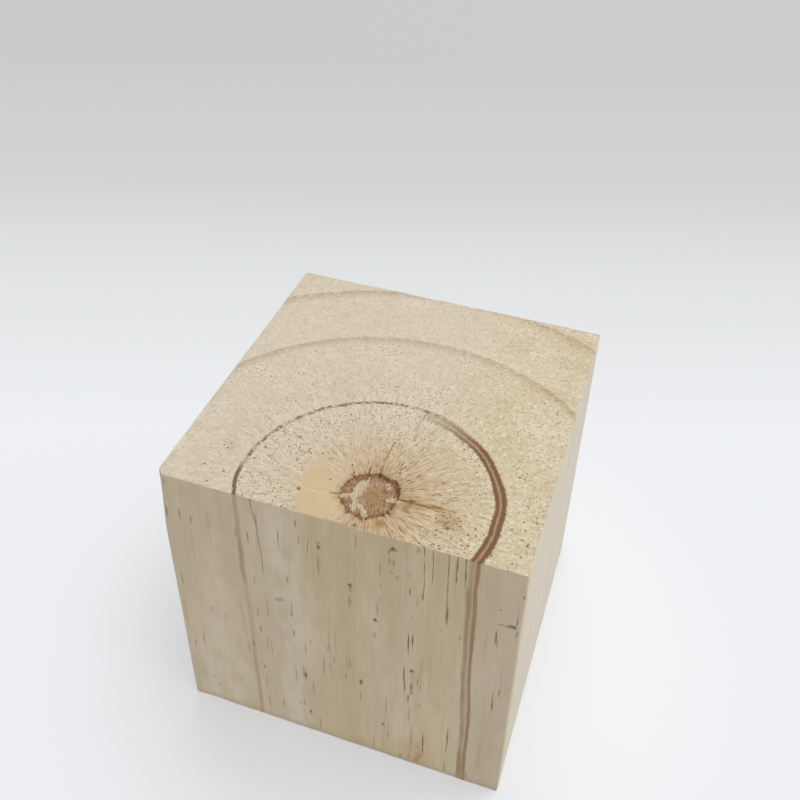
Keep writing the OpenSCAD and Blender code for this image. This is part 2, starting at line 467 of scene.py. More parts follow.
print("working out the block,", round(edge, 2), "mm on edge")
points, marks, side, (endRows, wallRows, underRows) = makeBlock()
rows, columns = endRows + wallRows + underRows, len(side)
quads, topFan, underFan = makeFaces(rows, columns)
mesh = bpy.data.meshes.new("pineCube")
mesh.from_pydata(points * mm, [], [*quads.tolist(), *topFan.tolist(), *underFan.tolist()])
mesh.update()
mesh.polygons.foreach_set("use_smooth", np.ones(len(mesh.polygons), bool))
mesh.set_sharp_from_angle(angle=math.radians(38))
for name, values in marks.items():
    layer = mesh.attributes.new(name, "FLOAT", "POINT")
    layer.data.foreach_set("value", values.astype(np.float32))

# The UV map lays every face flat in its side's square: corner + size * (0.5 + p . axis / edge).
chart = np.concatenate([chartOf(side, endRows, wallRows, rows, columns),
                        np.full(columns, 4), np.full(columns, 5)])
loops = np.concatenate([quads.ravel(), topFan.ravel(), underFan.ravel()])
chart = np.repeat(chart, np.repeat([4, 3], [len(quads), 2 * columns]))
flat = points[loops] - (0, 0, half)
uv = np.zeros((len(loops), 2))
for number, (left, low, size, across, up) in atlas.items():
    here = chart == number
    uv[here] = np.column_stack([left + size * (0.5 + flat[here] @ across / edge),
                                low + size * (0.5 + flat[here] @ up / edge)])
mesh.uv_layers.new(name="OFBake").data.foreach_set("uv", uv.ravel())
cube = addObject("pineCube", mesh)
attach(cube, "root")
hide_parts("wooden_cube")
print("block:", len(points), "points,", sum(len(f) for f in (quads, quads, topFan, underFan)),
      "triangles")


# Adds one node to a tree. A dot after its kind comes before its operation, or a mix's data type
# or a range's interpolation. The values go on its sockets in order, and `ins` on others by name
# or number; another node's socket becomes a link. `stops` are a colour ramp's places and colours,
# and the other settings go on the node. `out` is the output to give back, or None for the node.
def addNode(tree, kind, *values, ins={}, out=0, stops=(), **settings):
    kind, dot, choice = kind.partition(".")
    node = tree.nodes.new("ShaderNode" + kind)
    if dot:
        setting = {"Mix": "data_type", "MapRange": "interpolation_type"}.get(kind, "operation")
        settings[setting] = choice
    for name, value in settings.items():
        setattr(node, name, value)
    for key, value in [*enumerate(values), *ins.items()]:
        if isinstance(value, bpy.types.NodeSocket):
            tree.links.new(value, node.inputs[key])
        else:
            node.inputs[key].default_value = value
    for number in range(2, len(stops)):
        node.color_ramp.elements.new(0.5)
    for number, stop in enumerate(stops):
        node.color_ramp.elements[number].position, node.color_ramp.elements[number].color = stop
    return node.outputs[out] if out is not None else node


# Empties the node tree of a material or world, and gives back addNode for that tree.
def clearTree(owner):
    owner.use_nodes = True
    owner.node_tree.nodes.clear()
    return functools.partial(addNode, owner.node_tree)


pine = {
    # planed long grain and sawn end grain, from the pith outwards: distance in mm, colour
    "side": [(6, "#cfbe9e"), (9, "#cebd9b"), (13, "#d0bf9e"), (20, "#d2c1a0"), (34, "#d8c9ab")],
    "end": [(5, "#cbb691"), (9, "#ccba96"), (14, "#cfc0a2"), (26, "#cdbfa1"), (40, "#d0c2a6")],
    "reach": 55,  # from the pith to where these tones and the canals' end
    # the front face in bands: right of the middle, colour
    "front": [
        (-29, "#cfbda0"), (-22, "#d2c1a2"), (-16, "#d0bf9f"), (-9, "#d3c5aa"), (-3, "#ccb995"),
        (5, "#c9b590"), (12, "#cab694"), (18, "#cfbc96"), (24, "#ccb99c"), (29, "#cab79b")],
    # latewood rings: radius, how far the brown fades inwards, strength
    "rings": [(39.4, 2.4, 0.5), (54.4, 2.8, 0.5)],
    "firstRing": (21.2, 1.22),  # to the left: radius, and how far it is pressed flat in front
    # how strongly it shows on the sides: height, strength
    "firstFade": [(0, 0.75), (13, 0.65), (22, 0.45), (36, 0.25), (40, 0.75), (48, 0.85), (52, 0.6)],
    "doubleRing": (19.57, 20.57),  # to the right: two thin dark lines
    "changeOver": (1, 14),  # right of the pith, where the one gives way to the other
    "freshCut": (-22.5, -25),  # the first ring is unbroken on the top end in front of this
    "uneven": 0.38,  # how far the lines' edges stray
    # half width of each line, where its colour ends and where it is full
    "lines": {"inner": (0.48, 0.2), "outer": (0.4, 0.15), "outerTop": (0.58, 0.2),
              "between": (0.62, 0.5), "firstTop": (0.5, 0.2), "firstSide": (0.65, 0.1)},
    "raysRound": 35,  # rays per radian round the pith
    # resin canals: spacing across and along the grain, and how common they are at each distance
    "canalGap": (0.84, 22),
    "canals": [
        (4.6, 0), (6, 0.4), (10, 0.6), (13, 0.95), (15, 0.9), (18, 1), (20.3, 1.05),
        (21.5, 0.4), (25, 0.85), (30, 0.6), (37, 0.8), (40, 0.4), (50, 0.6)],
    # crowds of canals, two on the ends and one on the sides: noise, how much finer, how common
    # and how large
    "canalCrowds": [("2D", 1, 0.95, 0.2), ("2D", 1.75, 0.85, 0.26), ("3D", 1, 1, 0.25)],
    "fibre": (0.5, 16),  # fibre streaks: width and length
    "roughness": (0.55, 0.8),  # planed, sawn
    "smooth": (198, 40, 11.3),  # smooth yellow wood by the pith: direction, half its angle, reach
    # streaks on the front face, warm tints first and then pitch: colour, strength, and for each
    # streak how far right of the middle it is, its upper and lower end and half its width
    "streaks": [
        ("#bd9866", 0.4, [
            (-17.5, 4.5, -1, 2), (3.8, 3.4, 0.2, 1.3), (14.3, 9, -2, 2.8),
            (-5.2, 2.8, 0.2, 1)]),
        ("#94743c", 0.5, [
            (-14.45, 33, 30, 0.12), (-5.9, 54.6, 52.7, 0.12), (-28.6, 59.2, 57.5, 0.16),
            (-28.5, 36.6, 32.7, 0.18), (-16.9, 52, 50, 0.14), (-23.6, 29.3, 27.7, 0.18),
            (-28.1, 18, 14.8, 0.2), (-26.2, 20.7, 16, 0.16), (-14.2, 13.5, 9.3, 0.14),
            (-8.1, 19.7, 13.7, 0.14), (-6.6, 20, 18.4, 0.14), (-4.85, 16.6, 12, 0.14),
            (-5.9, 27.5, 23.2, 0.14), (-4.95, 28.4, 27.1, 0.13), (-2.6, 25, 18.4, 0.16),
            (-1.55, 23.6, 21, 0.14), (-6.9, 9.7, 7.7, 0.14), (-25.5, 7.6, 6.4, 0.2),
            (-24.5, 5.5, 4.5, 0.2), (-7.7, 8.5, 7.5, 0.14), (3.6, 58.7, 55, 0.13),
            (7.5, 54, 50.3, 0.14), (7.65, 48.6, 47.6, 0.14), (7.7, 45.5, 44.5, 0.14),
            (7.15, 43.8, 40.7, 0.14), (12.3, 53.5, 52, 0.12), (12.9, 43, 42.4, 0.14),
            (13.65, 47.8, 45.7, 0.12), (13.5, 59.6, 58.4, 0.35), (1.5, 22.5, 20, 0.14),
            (8.85, 18.8, 12.4, 0.15), (9.3, 8, 5.5, 0.15), (6.6, 4.8, 0.8, 0.15),
            (13.4, 22.6, 21.8, 0.4), (17.6, 42, 41.2, 0.14), (-12.5, 36, 31, 0.13),
            (-12.45, 24, 20.5, 0.13), (13.05, 18, 13, 0.16), (13.6, 12.4, 4.2, 0.14),
            (2.45, 43.8, 40.5, 0.26), (6.75, 36, 34.4, 0.26), (4.2, 18, 15.1, 0.16),
            (-2.75, 52, 46, 0.2), (-2.6, 54.6, 53.8, 0.3), (-0.6, 26.2, 23.6, 0.2),
            (9.05, 55.8, 53.6, 0.2), (9.7, 55.6, 53.4, 0.25), (9.4, 52.4, 51.8, 0.3),
            (10.3, 51.7, 51.1, 0.3), (-10.4, 37.4, 36.4, 0.6), (-9.8, 37.8, 36.8, 0.45),
            (-6.4, 19.4, 16, 0.3), (2.5, 45.8, 44.4, 0.2), (-8.1, 35, 33, 0.16),
            (20.2, 14.5, 8, 0.15), (22.95, 10, -3, 0.55)]),
        ("#735010", 0.66, [
            (-14.74, 52.4, 49.2, 0.11), (-8.37, 43.8, 42.1, 0.12), (-6.2, 58.1, 56.4, 0.12),
            (-26.8, 53, 50.3, 0.12), (-24.8, 52.2, 50.1, 0.11), (-29.1, 53, 50, 0.14),
            (-14.26, 28.3, 25.8, 0.12), (-7.9, 30, 28, 0.13), (-14.3, 16.6, 15.3, 0.13),
            (-11.1, 7.5, 4.6, 0.12), (12.4, 49.9, 48.1, 0.12), (14.85, 19.7, 19, 0.12),
            (13.27, 24.9, 23.6, 0.16), (14.35, 27.3, 24.6, 0.1), (14.85, 25, 24.2, 0.12),
            (26.55, 51.1, 50.7, 0.2), (29.7, 55.6, 54.7, 0.16), (26.9, 47.5, 47.3, 0.5),
            (27.8, 47.6, 47.2, 0.4), (28.9, 47.8, 47.3, 0.3), (29.15, 50.6, 47.8, 0.12),
            (29.35, 47.2, 45.3, 0.12), (27.95, 31.2, 28.6, 0.11), (18.45, 48.2, 43.5, 0.2),
            (27.1, 26.8, 24.5, 0.13), (14.5, 49.5, 47.7, 0.12), (20.8, 57, 55, 0.12),
            (19.45, 55.5, 54, 0.12), (8.9, 57.3, 56.2, 0.13), (9.25, 57.4, 57, 0.25),
            (9.6, 57.9, 57.6, 0.25), (10, 57.6, 57.3, 0.2), (12.45, 38.2, 33.8, 0.13),
            (13.15, 38.5, 35.5, 0.11), (26.3, 45.6, 42, 0.12), (11.85, 29.2, 24, 0.12)]),
        ("#99683f", 0.55, [
            (-14.45, 41.2, 39.1, 0.12), (-16.9, 22.4, 19, 0.15), (-15.96, 23, 21, 0.2),
            (-14.05, 8, 2.5, 0.13), (-13.2, 25.9, 21.1, 0.12), (-3.9, 5.4, 1, 0.13),
            (1.7, 27, 23, 0.12), (2.3, 27.3, 23.2, 0.13), (20.8, 42.4, 40.3, 0.14),
            (15.85, 11.4, 4.2, 0.17), (15.25, 4.4, 2.3, 0.4), (14.9, 3, 0.6, 0.42),
            (13.3, 3.2, 0.8, 0.16), (11.8, 2.5, 0.5, 0.16), (14.9, 6.4, 5.6, 0.14),
            (24.2, 3.4, 0.8, 0.16), (20.05, 4.8, 0.4, 0.16), (-12.95, 57.5, 54, 0.14),
            (13.3, 25.6, 21.5, 0.24), (12.1, 25.4, 21.6, 0.17), (12.75, 21.4, 18.8, 0.2),
            (19.45, 59.5, 56, 0.14)])],
    # stains on the top end: colour, strength, and spots as x, y and half their width and height
    "stains": [
        ("#aa8a58", 0.55, [
            (10.2, -22.5, 1.9, 1), (13.4, -22.2, 2.4, 0.6), (16.3, -24, 1.9, 1.7),
            (6.6, -28.4, 1.2, 1)]),
        ("#6c5226", 0.9, [
            (9.75, -22.25, 0.75, 0.5), (9, -22.35, 0.9, 0.22), (11.6, -22.4, 1.9, 0.17),
            (13.7, -22, 0.9, 0.16)]),
        ("#8f6c38", 0.85, [
            (11.6, -22.35, 1.8, 0.3), (13.9, -21.95, 1.3, 0.22), (3.2, -17.2, 0.2, 1.1)]),
        ("#e0cb9b", 0.6, [(-5.2, -25.1, 2.2, 0.14)]),
        ("#94793f", 0.72, [
            (6.65, -27.9, 0.75, 0.75), (9.4, -23.7, 0.6, 0.85), (3.1, -13.4, 0.16, 3),
            (2.9, -15.1, 0.2, 0.8), (-2, -24.5, 0.9, 0.16), (9.9, -23, 0.3, 0.3)]),
        ("#70452a", 0.8, [
            (16.4, -25.4, 0.35, 0.4), (-7.5, -25.45, 0.4, 0.36), (16, -24.6, 0.22, 0.22),
            (23.9, -28.2, 0.24, 0.2), (3.3, -29.4, 0.3, 0.4)]),
        ("#5f4a26", 0.75, [
            (13.3, -19.4, 0.5, 0.15), (16.4, -22, 0.8, 0.1), (9.3, -21.35, 0.45, 0.1),
            (10.4, -20.95, 0.6, 0.1), (9.25, -19.97, 0.45, 0.12), (14, -22.75, 0.5, 0.1),
            (-9.2, -17, 0.12, 0.4), (28.4, -24.6, 0.16, 0.4), (6, -15.3, 0.12, 0.3),
            (6.6, -15.6, 0.12, 0.35), (6.1, -16.2, 0.15, 0.3), (6.2, -17.1, 0.2, 0.3),
            (7.9, -18.2, 0.2, 0.2), (8.6, -18.3, 0.2, 0.16), (-0.7, -19.4, 0.2, 0.3),
            (2.2, -16.8, 0.25, 0.3), (-1.5, -17.9, 0.14, 0.3), (1.5, -18.1, 0.1, 0.9)]),
        ("#c0937a", 0.5, [
            (4.9, -28.9, 0.5, 0.5), (3.9, -28.6, 0.3, 0.6), (8.4, -28.6, 0.7, 0.5),
            (2.2, -17.2, 0.6, 0.4)])],
    # large resin canals on the top end: x, y
    "dots": [
        (-23.6, -25.6), (-22.65, -20.7), (-21.7, -20.1), (-21.8, -21.1), (-21.5, -28.8),
        (-20, -26.1), (-16.7, -21.8), (-16.2, -19), (-14.7, -20.6), (-6.9, -17.1), (-5.35, -17.8),
        (-8.7, -17.7), (-10.2, -19.9), (-3.6, -22), (20, -28.2), (20.3, -27.6), (19.25, -27.8),
        (19, -26.9), (20.8, -25.3), (19.7, -25.6), (20.4, -24.1), (15, -26.25), (17.5, -27),
        (13.8, -27), (16.2, -29), (16.4, -29.5), (15.4, -29), (11.1, -23.2), (14.3, -24.05),
        (17.5, -22.9), (26.9, -20.4), (15.2, -23.2), (15.8, -23.6), (16.3, -23.1), (16.9, -23.5),
        (17.4, -24.1), (15.5, -24.3), (16.2, -24.2), (16.9, -24.6), (15.9, -25.1), (17.2, -25.2),
        (14.6, -24.9), (17.9, -23.4), (18.2, -24.4), (15, -22.6), (16, -22.6), (27.5, -21.9),
        (27.4, -23.9), (28.6, -18.9), (28.8, -19.9), (25.5, -22.4), (28.6, -26), (28, -27),
        (27, -28.6), (29.9, -29.7)],
}


# Radiata-like pine, planed on the long grain and cross-cut on the ends: pale cream wood with a
# soft sheen along its fibres, brown latewood lines, short dark resin canals and a torn pith.
def makePine():
    material = bpy.data.materials.new("planedPine")
    add = clearTree(material)
    place = add("VectorMath.SCALE", add("TexCoord", out="Object"), ins={3: 1000})
    x, y, z = add("SeparateXYZ", place, out=None).outputs
    isEnd, inPith, tufted, pinkish, burnt, crack, knot = (
        add("Attribute", out="Fac", attribute_name=name)
        for name in ("endGrain", "inPith", "tuft", "pinkish", "burnt", "crack", "knot"))
    isSide = add("Math.SUBTRACT", 1, isEnd)

    # distance from the leaning pith, plain and with a wander of the grain in it; the ramp over the
    # height holds the drift in its red and the growth in its green, half a millimetre above zero
    upwards = add("Math.MULTIPLY", z, 1 / edge)
    grown = add("ValToRGB", upwards, stops=[
        (level / edge, (sideways + 0.5, growth + 0.5, 0, 1))
        for level, sideways, growth in block["drift"][::-1]])
    sideways, growth = add("SeparateColor", grown, out=None).outputs[:2]
    lean = add("Math.SUBTRACT", 0.5 - pith["x"], sideways)
    centre = add("CombineXYZ", lean, -pith["y"])
    about = add("VectorMath.ADD", place, centre)
    flat = add("VectorMath.MULTIPLY", about, (1, 1, 0))
    r = add("VectorMath.LENGTH", flat, out=1)
    slow = add("VectorMath.MULTIPLY", place, (0.16, 0.16, 0.07))
    wave = add("TexNoise", ins={"Vector": slow, "Scale": 1, "Detail": 2}, out=1)
    wave = add("VectorMath.MULTIPLY_ADD", wave, (0.8, 0.8, 0), (-0.4, -0.4, 0))
    bent = add("VectorMath.ADD", flat, wave)
    bentX, bentY = add("SeparateXYZ", bent, out=None).outputs[:2]
    firstR, press = pine["firstRing"]
    pressed = add("Math.MULTIPLY", bentY, press)
    pressed = add("Math.MINIMUM", pressed, bentY)
    pressed = add("VectorMath.LENGTH", add("CombineXYZ", bentX, pressed), out=1)
    growth = add("Math.SUBTRACT", growth, 0.5)
    pressed = add("Math.SUBTRACT", pressed, growth)
    ringR = add("Math.SUBTRACT", add("VectorMath.LENGTH", bent, out=1), growth)
    toRight = add("MapRange", add("SeparateXYZ", about), *pine["changeOver"])
    toLeft = add("Math.SUBTRACT", 1, toRight)
    onFront = add("MapRange", y, -half + 2, -half + 1)
    onFront = add("Math.MULTIPLY", onFront, isSide)
    offFront = add("Math.SUBTRACT", 1, onFront)
    # the right face, which gets painted light and shade in the coats below
    onRight = add("MapRange", x, half - 0.5, half - 0.2)

    # noises of three channels each: the place they read, scale, detail and roughness. Fibres are
    # read drawn out along the grain, and rays by the direction from the pith and the radius
    patches = add("VectorMath.MULTIPLY", place, (0.3, 0.3, 0.16))
    wide, long = pine["fibre"]
    along = add("VectorMath.MULTIPLY", bent, (1 / wide, 1 / wide, 0))
    along = add("VectorMath.MULTIPLY_ADD", place, (0, 0, 1 / long), along)
    turn = add("VectorMath.NORMALIZE", flat)
    outwards = add("CombineXYZ", ins={2: add("Math.MULTIPLY", r, 0.55)})
    rays = pine["raysRound"]
    outwards = add("VectorMath.MULTIPLY_ADD", turn, (rays, rays, 0), outwards)
    torn = add("VectorMath.MULTIPLY", place, (2.6, 1.2, 0.5))
    noises = []
    for at, scale, detail, roughness in (
            (patches, 1, 2, 0.5), (along, 0.8, 3, 0.6), (place, 1.6, 4, 0.7),
            (outwards, 1, 3, 0.65), (torn, 1, 3, 0.7)):
        noise = add("TexNoise", out=1, ins={"Vector": at, "Scale": scale, "Detail": detail,
                                            "Roughness": roughness})
        noises.append(add("SeparateColor", noise, out=None).outputs)
    blotch, hair, fuzz, ray, speckle = noises

    # base colour from the pith outwards, and on the front in bands from left to right
    reach = pine["reach"]
    away = add("MapRange", r, 0, reach)
    side, end, canals = (
        add("ValToRGB", away, stops=[
            (distance / reach, (value,) * 3 + (1,) if name == "canals" else linear(value))
            for distance, value in pine[name]]) for name in ("side", "end", "canals"))
    front = add("ValToRGB", add("MapRange", x, -half, half), stops=[
        ((left + half) / edge, linear(value)) for left, value in pine["front"]])
    shade = add("Mix.RGBA", onFront, ins={6: side, 7: front}, out=2)
    shade = add("Mix.RGBA", isEnd, ins={6: shade, 7: end}, out=2)

    # clouds of paler and greyer wood, drawn out along the grain
    cloudy = add("VectorMath.MULTIPLY", bent, (0.16, 0.16, 0))
    cloudy = add("VectorMath.MULTIPLY_ADD", place, (0, 0, 0.025), cloudy)
    cloud = add("TexNoise", ins={"Vector": cloudy, "Scale": 1, "Detail": 3, "Roughness": 0.55})
    pale = add("MapRange", cloud, 0.5, 0.72)
    dull = add("MapRange", cloud, 0.5, 0.3)
    rosy = add("MapRange", blotch[0], 0.5, 0.68)
    olive = add("MapRange", blotch[1], 0.5, 0.68)

    # fibre streaks, long on planed wood, and thin reddish hairs among them
    fibre = add("TexNoise", ins={"Vector": along, "Scale": 1, "Detail": 5, "Roughness": 0.7})
    fibreDark = add("MapRange", fibre, 0.5, 0.28)
    fibrePale = add("MapRange", fibre, 0.52, 0.75)
    hairs = add("MapRange", hair[0], 0.6, 0.7)
    patchy = add("MapRange", hair[1], 0.32, 0.56, 0.25)

    # end grain: fine mottling of cut fibres
    fuzzDark = add("MapRange", fuzz[0], 0.5, 0.36)
    fuzzPale = add("MapRange", fuzz[1], 0.5, 0.64)

    # rays, and how they change round the pith and away from it
    lush = add("VectorMath.DOT_PRODUCT", turn, (0.95, 0.05, 0), out=1)
    tan = add("MapRange", lush, -0.8, -0.3, 0.55)
    lush = add("MapRange", lush, -0.6, 0.6, 0.3)
    smoothTurn, smoothWide, smoothReach = pine["smooth"]
    smoothTurn = math.radians(smoothTurn)
    yellow = (math.cos(smoothTurn), math.sin(smoothTurn), 0)
    yellow = add("VectorMath.DOT_PRODUCT", turn, yellow, out=1)
    limit = math.cos(math.radians(smoothWide))
    yellow = add("MapRange", yellow, limit - 0.16, limit + 0.1)
    yellow = add("Math.MULTIPLY", yellow, add("MapRange", r, smoothReach + 0.3, smoothReach - 0.3))
    bare = add("Math.SUBTRACT", 1, yellow)
    rayDark = add("MapRange.SMOOTHSTEP", ray[0], 0.48, 0.36)
    rayPale = add("MapRange", ray[1], 0.52, 0.68)
    nearPith = add("MapRange", r, 15, 7)
    aroundPith = add("MapRange", r, 18, 6)
    midway = add("MapRange", r, 34, 10, 0.2)

    # resin canals: a cell each, long along the grain, with a dark core of uneven size; cells of the
    # end grain are flat, so that each one shows
    across, lengthwise = pine["canalGap"]
    cells = add("VectorMath.MULTIPLY", about, (1 / across, 1 / across, 1 / lengthwise))
    crowd = add("MapRange", cloud, 0.35, 0.6, 0.45, 1.0)
    crowd = add("Math.MULTIPLY", crowd, canals)
    cores = []
    for dimensions, finer, share, largest in pine["canalCrowds"]:
        canal = add("TexVoronoi", ins={"Vector": cells, "Scale": finer}, out=None,
                    voronoi_dimensions=dimensions)
        luck = add("SeparateColor", canal.outputs[1], out=None).outputs
        size = add("Math.SUBTRACT", add("Math.MULTIPLY", crowd, share), luck[0])
        size = add("MapRange", size, 0, 0.6, 0.0, largest)
        core = add("Math.SUBTRACT", size, canal.outputs[0])
        cores.append(add("MapRange", core, -0.02, 0.08))
    endCore = add("Math.MAXIMUM", cores[0], cores[1])

    # latewood rings: brown that grows towards the ring from inside and stops short outside
    ring = 0
    for radius, width, strength in pine["rings"]:
        off = add("Math.SUBTRACT", ringR, radius)
        rise = add("MapRange.SMOOTHSTEP", off, -width, 0, 0, strength)
        fall = add("MapRange.SMOOTHSTEP", off, 0.36, 0.12)
        brown = add("Math.MULTIPLY", rise, fall)
        ring = add("Math.MAXIMUM", brown, ring)

    def line(distance, radius, name):
        away = add("Math.SUBTRACT", distance, radius)
        away = add("Math.ABSOLUTE", away)
        return add("MapRange.SMOOTHSTEP", away, *pine["lines"][name])

    # the lines' edges are uneven, by the cut fibres on the end and by the streaks on the sides
    uneven = add("Mix", isEnd, ins={2: fibre, 3: fuzz[2]}, out=0)
    uneven = add("MapRange", uneven, 0, 1, -pine["uneven"], pine["uneven"])
    firstFade = add("ValToRGB", upwards, stops=[
        (level / edge, (share, share, share, 1)) for level, share in pine["firstFade"]])
    doubleR = add("Math.ADD", ringR, uneven)
    firstOff = add("Math.ADD", pressed, uneven)
    inner, outer = pine["doubleRing"]
    innerLine, outerLine = line(doubleR, inner, "inner"), line(doubleR, outer, "outer")
    outerTop = line(doubleR, outer + 0.1, "outerTop")
    between = line(doubleR, (inner + outer) / 2, "between")
    firstTop, firstSide = line(firstOff, firstR, "firstTop"), line(firstOff, firstR, "firstSide")
    dotty = add("MapRange", fuzz[1], 0.44, 0.56)
    streaky = add("VectorMath.MULTIPLY", place, (0.5, 0.5, 0.13))
    streaky = add("TexNoise", ins={"Vector": streaky, "Scale": 1, "Detail": 2}, out=0)
    streaky = add("MapRange", streaky, 0.38, 0.56, 0.35)
    fresh = add("MapRange", y, *pine["freshCut"], 0.15)
    fresh = add("Math.MAXIMUM", fresh, dotty)
    steady = add("MapRange", hair[1], 0.32, 0.52, 0.6)

    # marks drawn in place: the distance to each ellipsoid, counted in its own radii
    ragged = add("TexNoise", ins={"Vector": place, "Scale": 1.8, "Detail": 2}, out=1)
    ragged = add("VectorMath.MULTIPLY_ADD", ragged, (0.3, 0.3, 0.5), (-0.15, -0.15, -0.25))
    loose = add("VectorMath.ADD", place, ragged)

    def marked(source, spots):
        nearest = 9
        for spot, radii in spots:
            away = add("VectorMath.MULTIPLY_ADD", source, tuple(1 / radii), tuple(-spot / radii))
            away = add("VectorMath.LENGTH", away, out=1)
            nearest = add("Math.MINIMUM", away, nearest)
        return add("MapRange", nearest, 1.05, 0.4)

    dots = marked(loose, [(np.array([*spot, edge]), np.array([0.22, 0.22, 3]))
                          for spot in pine["dots"]])

    # the pith: a thin dark line at its rim, a reddish band and speckled wood inside
    inside = add("MapRange", inPith, -0.08, 0.08)
    rim = add("Math.ABSOLUTE", add("Math.SUBTRACT", inPith, 0.06))
    rim = add("MapRange.SMOOTHSTEP", rim, 0.26, 0.05)
    band = add("MapRange", inPith, 1.25, 0.5)
    fringe = add("MapRange", inPith, -1.3, 0.1)
    spiky = add("MapRange", ray[2], 0.56, 0.42)
    speckleDark = add("MapRange", speckle[0], 0.52, 0.36)
    specklePale = add("MapRange", speckle[1], 0.5, 0.66)
    broken = add("MapRange", speckle[2], 0.38, 0.55, 0.3)
    tuft = add("MapRange", tufted, 0.06, 0.48)
    # painted shade along the foot of the sides, where they stand on the floor
    footShade = add("MapRange", z, 2.2, 0.2)
    # masks for the painted light and shade on the right face: towards its back, lower down, and
    # towards its front
    inwards = add("MapRange", y, -half + 0.5, -half + 8, 0.25)
    low = add("MapRange", z, edge, 0)
    forward = add("MapRange", y, -half + 7, -half + 1)

    # colour, laid on in coats: colour, strength, and the masks that are multiplied together
    coats = [
        ("#e2d6bd", 0.45, [pale]), ("#bba787", 0.45, [dull]), ("#c4ab92", 0.35, [rosy, onFront]),
        # on the right face, painted light: a pale grey coat (#c8c0b0) of painted sheen, stronger
        # towards its back; and painted shade: a darker coat (#a8997f) towards its front and lower
        # down
        ("#bfb186", 0.35, [olive, onFront]), ("#c8c0b0", 0.8, [onRight, inwards, isSide]),
        ("#a8997f", 0.5, [onRight, forward, low, isSide]), ("#ab9268", 0.18, [fibreDark, isSide]),
        ("#e4dac2", 0.15, [fibrePale, isSide]), ("#a07a55", 0.25, [hairs, isSide]),
        ("#a58a64", 0.55, [fuzzDark, isEnd]), ("#ece2cc", 0.5, [fuzzPale, isEnd]),
        ("#d2c8ba", 0.4, [toLeft, bare, isEnd]), ("#b3905f", 0.6, [aroundPith, tan, bare, isEnd]),
        ("#c9b28b", 0.8, [yellow, isEnd]), ("#e0cfac", 0.25, [yellow, rayPale, isEnd]),
        ("#b39365", 0.22, [yellow, rayDark, isEnd]),
        ("#e6d9bd", 0.68, [rayPale, midway, bare, isEnd]),
        ("#654522", 0.84, [rayDark, nearPith, lush, bare, isEnd]),
        ("#967b52", 0.5, [rayDark, midway, bare, isEnd]),
        ("#634b2a", 0.76, [endCore, bare, isEnd]), ("#5a4526", 0.9, [dots, isEnd]),
        ("#8d7350", 0.5, [cores[2], isSide, offFront]),
        ("#b79a78", 0.65, [between, toRight, isSide]),
        ("#a5805e", 0.9, [between, toRight, isEnd]),
        ("#9a7848", 0.76, [firstSide, toLeft, firstFade, isSide]),
        ("#9c8059", 0.85, [innerLine, toRight, steady, streaky, isSide]),
        ("#96714c", 0.9, [outerLine, toRight, steady, isSide]),
        ("#9f8867", 0.5, [ring, patchy, isSide]),
        ("#725535", 0.95, [firstTop, toLeft, fresh, isEnd]),
        ("#8f7350", 0.9, [ring, patchy, isEnd]), ("#72502d", 0.95, [innerLine, toRight, isEnd]),
        # the last coat (#9f8867) is painted shade along the foot of the sides, where they meet the
        # floor
        ("#704c29", 0.95, [outerTop, toRight, isEnd]), ("#9f8867", 0.5, [footShade, isSide])]
    for colour, amount, spots in pine["streaks"]:
        spots = [(np.array([left, -half, (top + bottom) / 2]),
                  np.array([width * 1.5, 2.0, (top - bottom) * 0.56 + 0.1]))
                 for left, top, bottom, width in spots]
        coats.append((colour, amount, [marked(loose, spots), onFront]))
    for colour, amount, spots in pine["stains"]:
        spots = [(np.array([*spot[:2], edge]), np.array([*spot[2:], 1.5]) * 1.25)
                 for spot in spots]
        coats.append((colour, amount, [marked(loose, spots)]))
    coats += [
        ("#7f5a30", 0.75, [fringe, spiky, isEnd]), ("#a5825a", 1.0, [inside]),
        ("#c0a077", 0.6, [inside, specklePale]), ("#7c5836", 0.65, [inside, speckleDark]),
        ("#865c40", 0.75, [inside, band, broken]), ("#b39780", 0.85, [pinkish, inside]),
        ("#5c3f25", 0.8, [burnt, broken]), ("#cdbfa1", 0.82, [tuft]),
        ("#a08a68", 0.5, [tuft, speckleDark]), ("#6f4a26", 0.62, [rim, broken]),
        # the checks' dark brown (#5d4529 on the end, #6a4e0a on the sides) is painted shade down in
        # their grooves
        ("#5d4529", 0.7, [crack, isEnd]), ("#6a4e0a", 0.88, [crack, isSide]),
        ("#634808", 0.92, [knot])]
    for colour, amount, masks in coats:
        for mask in masks:
            amount = add("Math.MULTIPLY", amount, mask)
        shade = add("Mix.RGBA", amount, ins={6: shade, 7: linear(colour)}, out=2)

    rough = add("MapRange", isEnd, 0, 1, *pine["roughness"])
    height = add("Mix", isEnd, ins={2: fibre, 3: fuzz[0]}, out=0)
    bump = add("Bump", ins={"Height": height, "Strength": 0.6, "Distance": 0.00007}, out=0)
    shader = add("BsdfPrincipled",
                 ins={"Base Color": shade, "Roughness": rough, "IOR": 1.5, "Normal": bump})
    add("OutputMaterial", shader, out=None)
    return material


cube.data.materials.append(makePine())
print("pine is on")

studio = {
    # matt paper, greyed away from the camera by painted shade: distance behind the cube's middle,
    # colour
    "floorShadedTones": [(55, "#eef0f3"), (137, "#dee0e1"), (185, "#d2d3d4"), (300, "#cbcbcb")],
    "toneReach": 400,
    "floorReach": 3.0,  # metres from the middle to the floor's sides
    # how much of the floor's tone the camera sees by lamp light, by the cube and away from it,
    # and how much light the floor by the cube throws back as if it were not in shadow
    "floorShadow": (0.64, 0.12), "floorBounce": 0.9, "floorClose": (40, 75),
    "sky": "#aeaeae", "backdrop": "#dcdcdd",
    # lamp: direction, distance and width in metres, and watts
    "keyFrom": (0.5, 0.32, 1.0), "keyAway": 1.5, "keySize": 2.8, "keyPower": 34,
}

view = {
    "place": (0.649, -1.984, 2.829),  # in edges of the cube, from the middle of its underside
    "elevation": 37.3, "azimuth": 18.09, "roll": 1.31, "lens": 43.38, "shiftY": -0.0866,
}
